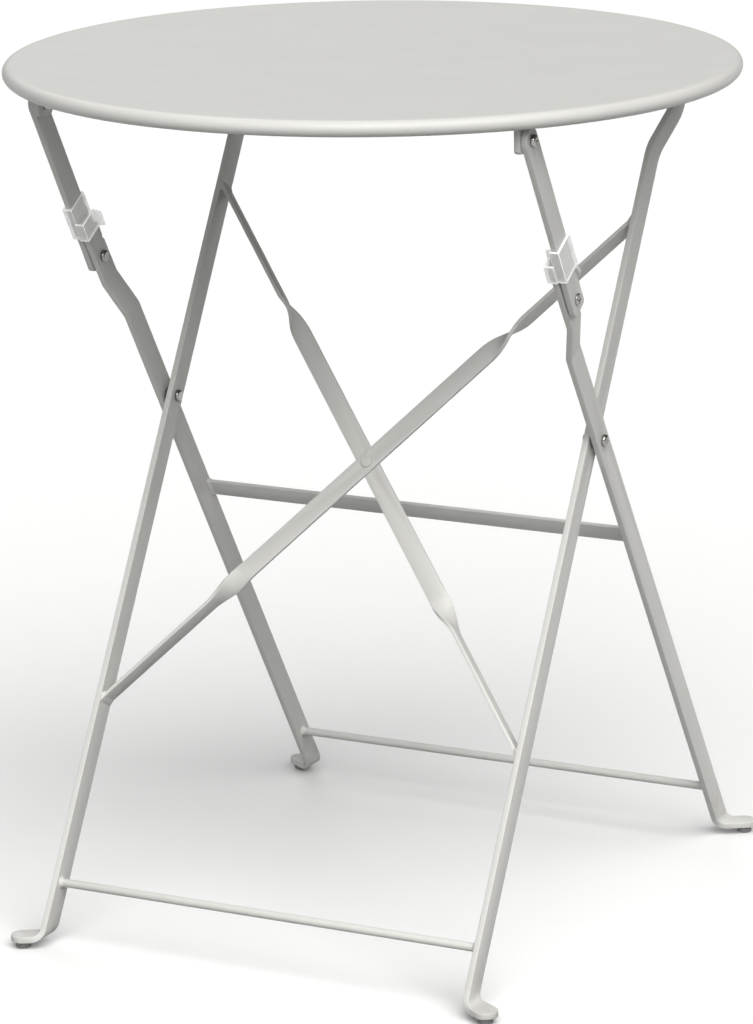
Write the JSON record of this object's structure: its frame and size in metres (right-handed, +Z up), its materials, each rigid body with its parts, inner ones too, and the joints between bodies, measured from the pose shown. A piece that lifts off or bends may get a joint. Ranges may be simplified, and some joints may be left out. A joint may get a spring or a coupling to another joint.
{
  "type": "folding bistro table",
  "caption": "Round pressed-steel folding bistro table on a scissor frame of flat bar, with twisted cross braces, hinged elbow arms and sliding plastic locking clips.",
  "frame": {"origin": "on the ground under the centre of the round top, which is the bottom centre of the bounding box", "axes": "+X runs along the hinge axes from one side frame to the other; -Y is the side where the inner frame stands and the locking elbows are; +Y is the side where the outer frame stands; +Z is up"},
  "size_m": [0.595, 0.595, 0.71],
  "materials": {
    "top_enamel": "satin warm light grey powder coat",
    "frame_enamel": "satin warm light grey powder coat",
    "fastener_steel": "satin zinc-plated steel",
    "clip_plastic": "translucent milky white moulded plastic",
    "glide_plastic": "dark grey moulded plastic"
  },
  "bodies": {
    "inner_frame": {"front_leg_right": "frame_enamel", "front_leg_left": "frame_enamel", "front_foot_rod": "frame_enamel", "brace_strap_rear": "frame_enamel", "brace_strap_front": "frame_enamel", "brace_rivet": "frame_enamel", "front_glide_right": "glide_plastic", "front_glide_left": "glide_plastic", "scissor_screws": "fastener_steel", "scissor_nuts": "fastener_steel", "scissor_washers": "fastener_steel"},
    "outer_frame": {"rear_leg_right": "frame_enamel", "rear_leg_left": "frame_enamel", "rear_foot_rod": "frame_enamel", "rear_stretcher": "frame_enamel", "rear_glide_right": "glide_plastic", "rear_glide_left": "glide_plastic", "elbow_nuts": "fastener_steel"},
    "top": {"table_top": "top_enamel", "top_rail_right": "frame_enamel", "top_rail_left": "frame_enamel", "front_lug_right": "frame_enamel", "front_lug_left": "frame_enamel", "rear_lug_right": "frame_enamel", "rear_lug_left": "frame_enamel", "rear_hinge_screws": "fastener_steel", "rear_hinge_nuts": "fastener_steel", "rear_hinge_washers": "fastener_steel", "front_hinge_screws": "fastener_steel", "front_hinge_nuts": "fastener_steel"},
    "arm_right": {"upper_arm_right": "frame_enamel", "elbow_screw_right": "fastener_steel", "elbow_washer_right": "fastener_steel"},
    "arm_left": {"upper_arm_left": "frame_enamel", "elbow_screw_left": "fastener_steel", "elbow_washer_left": "fastener_steel"},
    "clip_right": {"locking_clip_right": "clip_plastic"},
    "clip_left": {"locking_clip_left": "clip_plastic"}
  },
  "joints": [
    {"name": "top_fold", "type": "hinge", "parent": "inner_frame", "child": "top", "pos_m": [0, 0.16753, 0.692], "axis": [1, 0, 0], "range_deg": [0, 48]},
    {"name": "outer_fold", "type": "hinge", "parent": "inner_frame", "child": "outer_frame", "pos_m": [0, 0.003, 0.411], "axis": [1, 0, 0], "range_deg": [-60.6, 0]},
    {"name": "arm_fold_right", "type": "hinge", "parent": "top", "child": "arm_right", "pos_m": [0, -0.167, 0.685], "axis": [1, 0, 0], "range_deg": [0, 52.75]},
    {"name": "arm_fold_left", "type": "hinge", "parent": "top", "child": "arm_left", "pos_m": [0, -0.167, 0.685], "axis": [1, 0, 0], "range_deg": [0, 52.75]},
    {"name": "clip_slide_right", "type": "slide", "parent": "arm_right", "child": "clip_right", "axis": [0, -0.5122, 0.8589], "range_m": [0, 0.0861]},
    {"name": "clip_slide_left", "type": "slide", "parent": "arm_left", "child": "clip_left", "axis": [0, -0.5122, 0.8589], "range_m": [0, 0.0861]}
  ],
  "couplings": [
    {"joint": "outer_fold", "follows": "top_fold", "ratio": -1.2623},
    {"joint": "arm_fold_right", "follows": "top_fold", "ratio": 1.0985},
    {"joint": "arm_fold_left", "follows": "top_fold", "ratio": 1.0985},
    {"joint": "clip_slide_right", "follows": "top_fold", "m_per_rad": 0.10265},
    {"joint": "clip_slide_left", "follows": "top_fold", "m_per_rad": 0.10265}
  ]
}
